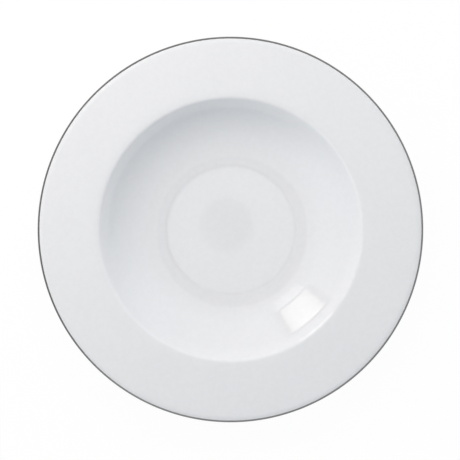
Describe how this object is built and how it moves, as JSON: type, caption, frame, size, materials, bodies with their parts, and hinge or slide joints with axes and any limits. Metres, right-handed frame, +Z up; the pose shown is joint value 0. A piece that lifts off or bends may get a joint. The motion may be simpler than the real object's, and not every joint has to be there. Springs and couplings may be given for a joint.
{
  "type": "deep plate",
  "caption": "Round white porcelain deep plate with a wide, almost flat rim, a thin dark edge line, a bowl-shaped well with a flat floor and a foot ring; holds soup or pasta.",
  "frame": {"origin": "on the plate's axis, in the plane of the foot ring's standing face", "axes": "+Z up along the plate's axis of symmetry; X and Y lie in the table's plane"},
  "size_m": [0.24, 0.24, 0.031],
  "materials": {
    "porcelain": "matte",
    "glaze": "gloss",
    "line": "satin"
  },
  "bodies": {
    "root": {"porcelain_body": "porcelain", "glaze_coat": "glaze", "base_glaze": "glaze", "rim_line": "line"}
  },
  "joints": []
}
